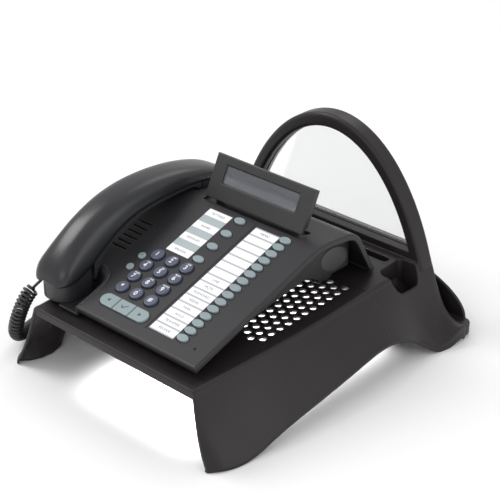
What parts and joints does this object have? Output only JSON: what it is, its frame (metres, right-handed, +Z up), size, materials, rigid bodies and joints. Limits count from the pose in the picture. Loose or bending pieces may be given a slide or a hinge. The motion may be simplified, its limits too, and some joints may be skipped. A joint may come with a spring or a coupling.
{
  "type": "desk telephone on an organiser stand",
  "caption": "Corded desk telephone with a tilting display and lift-off handset on a raised desk stand with a perforated tray, file rack and pen slot.",
  "frame": {"origin": "on the desk, under the middle of the stand", "axes": "+X to the right of the keypad, +Y to the rear, +Z up"},
  "size_m": [0.3404, 0.352, 0.2038],
  "materials": {
    "stand_plastic": "satin fine-grained",
    "clear_window": "clear polished",
    "foot_rubber": "matte",
    "screw_steel": "zinc plated",
    "phone_plastic": "satin fine-grained",
    "phone_base_plastic": "fine-grained",
    "port_cover_plastic": "satin",
    "label_paper": "printed paper under film",
    "board_laminate": "lacquered",
    "speaker_steel": "satin",
    "cord_plastic": "satin",
    "clear_plug": "clear moulded",
    "display_plastic": "satin fine-grained",
    "display_clear": "clear polished",
    "lcd_grey": "flat",
    "handset_plastic": "satin",
    "handset_base_plastic": "satin",
    "dial_key_plastic": "satin",
    "pale_key_plastic": "satin"
  },
  "bodies": {
    "root": {"stand_platform": "stand_plastic", "rack_front": "stand_plastic", "rack_back": "stand_plastic", "arch_window": "clear_window", "rubber_feet": "foot_rubber", "screws": "screw_steel", "phone_top_housing": "phone_plastic", "phone_bottom_housing": "phone_base_plastic", "module_port_cover": "port_cover_plastic", "label_strips": "label_paper", "circuit_board": "board_laminate", "loudspeaker": "speaker_steel", "handset_cord": "cord_plastic", "base_plug": "clear_plug"},
    "display": {"display_frame": "display_plastic", "display_back": "display_plastic", "display_lens": "display_clear", "lcd_panel": "lcd_grey", "display_hinge_pin": "screw_steel"},
    "handset": {"handset_upper_shell": "handset_plastic", "handset_lower_shell": "handset_base_plastic", "handset_capsules": "speaker_steel", "handset_plug": "clear_plug"},
    "hook": {"hook_switch": "phone_plastic"},
    "dial_key_1": {"dial_key_1": "dial_key_plastic"},
    "dial_key_2": {"dial_key_2": "dial_key_plastic"},
    "dial_key_3": {"dial_key_3": "dial_key_plastic"},
    "dial_key_4": {"dial_key_4": "dial_key_plastic"},
    "dial_key_5": {"dial_key_5": "dial_key_plastic"},
    "dial_key_6": {"dial_key_6": "dial_key_plastic"},
    "dial_key_7": {"dial_key_7": "dial_key_plastic"},
    "dial_key_8": {"dial_key_8": "dial_key_plastic"},
    "dial_key_9": {"dial_key_9": "dial_key_plastic"},
    "dial_key_star": {"dial_key_star": "dial_key_plastic"},
    "dial_key_0": {"dial_key_0": "dial_key_plastic"},
    "dial_key_hash": {"dial_key_hash": "dial_key_plastic"},
    "menu_key_left": {"menu_key_left": "pale_key_plastic"},
    "menu_key_ok": {"menu_key_ok": "pale_key_plastic"},
    "menu_key_right": {"menu_key_right": "pale_key_plastic"},
    "volume_key_up": {"volume_key_up": "pale_key_plastic"},
    "volume_key_down": {"volume_key_down": "pale_key_plastic"},
    "function_key_1": {"function_key_1": "pale_key_plastic"},
    "function_key_2": {"function_key_2": "pale_key_plastic"},
    "function_key_3": {"function_key_3": "pale_key_plastic"},
    "function_key_4": {"function_key_4": "pale_key_plastic"},
    "line_key_01": {"line_key_01": "pale_key_plastic"},
    "line_key_02": {"line_key_02": "pale_key_plastic"},
    "line_key_03": {"line_key_03": "pale_key_plastic"},
    "line_key_04": {"line_key_04": "pale_key_plastic"},
    "line_key_05": {"line_key_05": "pale_key_plastic"},
    "line_key_06": {"line_key_06": "pale_key_plastic"},
    "line_key_07": {"line_key_07": "pale_key_plastic"},
    "line_key_08": {"line_key_08": "pale_key_plastic"},
    "line_key_09": {"line_key_09": "pale_key_plastic"},
    "line_key_10": {"line_key_10": "pale_key_plastic"},
    "line_key_11": {"line_key_11": "pale_key_plastic"},
    "line_key_12": {"line_key_12": "pale_key_plastic"},
    "line_key_13": {"line_key_13": "pale_key_plastic"},
    "line_key_14": {"line_key_14": "pale_key_plastic"},
    "line_key_15": {"line_key_15": "pale_key_plastic"}
  },
  "joints": [
    {"name": "handset_lift", "type": "slide", "parent": "root", "child": "handset", "axis": [0, 0, 1], "range_m": [0, 0.12], "deforming": ["handset_cord"]},
    {"name": "hook_travel", "type": "slide", "parent": "root", "child": "hook", "axis": [0, 0, 1], "range_m": [0, 0.003]},
    {"name": "display_tilt", "type": "hinge", "parent": "root", "child": "display", "pos_m": [0.006, 0.0238, 0.1385], "axis": [1, 0, 0], "range_deg": [-55, 20]},
    {"name": "dial_key_1_press", "type": "slide", "parent": "root", "child": "dial_key_1", "axis": [0, 0.309, -0.9511], "range_m": [0, 0.001], "stiffness_N_per_m": 300},
    {"name": "dial_key_2_press", "type": "slide", "parent": "root", "child": "dial_key_2", "axis": [0, 0.309, -0.9511], "range_m": [0, 0.001], "stiffness_N_per_m": 300},
    {"name": "dial_key_3_press", "type": "slide", "parent": "root", "child": "dial_key_3", "axis": [0, 0.309, -0.9511], "range_m": [0, 0.001], "stiffness_N_per_m": 300},
    {"name": "dial_key_4_press", "type": "slide", "parent": "root", "child": "dial_key_4", "axis": [0, 0.309, -0.9511], "range_m": [0, 0.001], "stiffness_N_per_m": 300},
    {"name": "dial_key_5_press", "type": "slide", "parent": "root", "child": "dial_key_5", "axis": [0, 0.309, -0.9511], "range_m": [0, 0.001], "stiffness_N_per_m": 300},
    {"name": "dial_key_6_press", "type": "slide", "parent": "root", "child": "dial_key_6", "axis": [0, 0.309, -0.9511], "range_m": [0, 0.001], "stiffness_N_per_m": 300},
    {"name": "dial_key_7_press", "type": "slide", "parent": "root", "child": "dial_key_7", "axis": [0, 0.309, -0.9511], "range_m": [0, 0.001], "stiffness_N_per_m": 300},
    {"name": "dial_key_8_press", "type": "slide", "parent": "root", "child": "dial_key_8", "axis": [0, 0.309, -0.9511], "range_m": [0, 0.001], "stiffness_N_per_m": 300},
    {"name": "dial_key_9_press", "type": "slide", "parent": "root", "child": "dial_key_9", "axis": [0, 0.309, -0.9511], "range_m": [0, 0.001], "stiffness_N_per_m": 300},
    {"name": "dial_key_star_press", "type": "slide", "parent": "root", "child": "dial_key_star", "axis": [0, 0.309, -0.9511], "range_m": [0, 0.001], "stiffness_N_per_m": 300},
    {"name": "dial_key_0_press", "type": "slide", "parent": "root", "child": "dial_key_0", "axis": [0, 0.309, -0.9511], "range_m": [0, 0.001], "stiffness_N_per_m": 300},
    {"name": "dial_key_hash_press", "type": "slide", "parent": "root", "child": "dial_key_hash", "axis": [0, 0.309, -0.9511], "range_m": [0, 0.001], "stiffness_N_per_m": 300},
    {"name": "menu_key_left_press", "type": "slide", "parent": "root", "child": "menu_key_left", "axis": [0, 0.309, -0.9511], "range_m": [0, 0.001], "stiffness_N_per_m": 300},
    {"name": "menu_key_ok_press", "type": "slide", "parent": "root", "child": "menu_key_ok", "axis": [0, 0.309, -0.9511], "range_m": [0, 0.001], "stiffness_N_per_m": 300},
    {"name": "menu_key_right_press", "type": "slide", "parent": "root", "child": "menu_key_right", "axis": [0, 0.309, -0.9511], "range_m": [0, 0.001], "stiffness_N_per_m": 300},
    {"name": "volume_key_up_press", "type": "slide", "parent": "root", "child": "volume_key_up", "axis": [0, 0.309, -0.9511], "range_m": [0, 0.001], "stiffness_N_per_m": 300},
    {"name": "volume_key_down_press", "type": "slide", "parent": "root", "child": "volume_key_down", "axis": [0, 0.309, -0.9511], "range_m": [0, 0.001], "stiffness_N_per_m": 300},
    {"name": "function_key_1_press", "type": "slide", "parent": "root", "child": "function_key_1", "axis": [0, 0.309, -0.9511], "range_m": [0, 0.001], "stiffness_N_per_m": 300},
    {"name": "function_key_2_press", "type": "slide", "parent": "root", "child": "function_key_2", "axis": [0, 0.309, -0.9511], "range_m": [0, 0.001], "stiffness_N_per_m": 300},
    {"name": "function_key_3_press", "type": "slide", "parent": "root", "child": "function_key_3", "axis": [0, 0.309, -0.9511], "range_m": [0, 0.001], "stiffness_N_per_m": 300},
    {"name": "function_key_4_press", "type": "slide", "parent": "root", "child": "function_key_4", "axis": [0, 0.309, -0.9511], "range_m": [0, 0.001], "stiffness_N_per_m": 300},
    {"name": "line_key_01_press", "type": "slide", "parent": "root", "child": "line_key_01", "axis": [0, 0.309, -0.9511], "range_m": [0, 0.001], "stiffness_N_per_m": 300},
    {"name": "line_key_02_press", "type": "slide", "parent": "root", "child": "line_key_02", "axis": [0, 0.309, -0.9511], "range_m": [0, 0.001], "stiffness_N_per_m": 300},
    {"name": "line_key_03_press", "type": "slide", "parent": "root", "child": "line_key_03", "axis": [0, 0.309, -0.9511], "range_m": [0, 0.001], "stiffness_N_per_m": 300},
    {"name": "line_key_04_press", "type": "slide", "parent": "root", "child": "line_key_04", "axis": [0, 0.309, -0.9511], "range_m": [0, 0.001], "stiffness_N_per_m": 300},
    {"name": "line_key_05_press", "type": "slide", "parent": "root", "child": "line_key_05", "axis": [0, 0.309, -0.9511], "range_m": [0, 0.001], "stiffness_N_per_m": 300},
    {"name": "line_key_06_press", "type": "slide", "parent": "root", "child": "line_key_06", "axis": [0, 0.309, -0.9511], "range_m": [0, 0.001], "stiffness_N_per_m": 300},
    {"name": "line_key_07_press", "type": "slide", "parent": "root", "child": "line_key_07", "axis": [0, 0.309, -0.9511], "range_m": [0, 0.001], "stiffness_N_per_m": 300},
    {"name": "line_key_08_press", "type": "slide", "parent": "root", "child": "line_key_08", "axis": [0, 0.309, -0.9511], "range_m": [0, 0.001], "stiffness_N_per_m": 300},
    {"name": "line_key_09_press", "type": "slide", "parent": "root", "child": "line_key_09", "axis": [0, 0.309, -0.9511], "range_m": [0, 0.001], "stiffness_N_per_m": 300},
    {"name": "line_key_10_press", "type": "slide", "parent": "root", "child": "line_key_10", "axis": [0, 0.309, -0.9511], "range_m": [0, 0.001], "stiffness_N_per_m": 300},
    {"name": "line_key_11_press", "type": "slide", "parent": "root", "child": "line_key_11", "axis": [0, 0.309, -0.9511], "range_m": [0, 0.001], "stiffness_N_per_m": 300},
    {"name": "line_key_12_press", "type": "slide", "parent": "root", "child": "line_key_12", "axis": [0, 0.309, -0.9511], "range_m": [0, 0.001], "stiffness_N_per_m": 300},
    {"name": "line_key_13_press", "type": "slide", "parent": "root", "child": "line_key_13", "axis": [0, 0.309, -0.9511], "range_m": [0, 0.001], "stiffness_N_per_m": 300},
    {"name": "line_key_14_press", "type": "slide", "parent": "root", "child": "line_key_14", "axis": [0, 0.309, -0.9511], "range_m": [0, 0.001], "stiffness_N_per_m": 300},
    {"name": "line_key_15_press", "type": "slide", "parent": "root", "child": "line_key_15", "axis": [0, 0.309, -0.9511], "range_m": [0, 0.001], "stiffness_N_per_m": 300}
  ],
  "couplings": [
    {"joint": "hook_travel", "follows": "handset_lift", "ratio": 0.02}
  ]
}
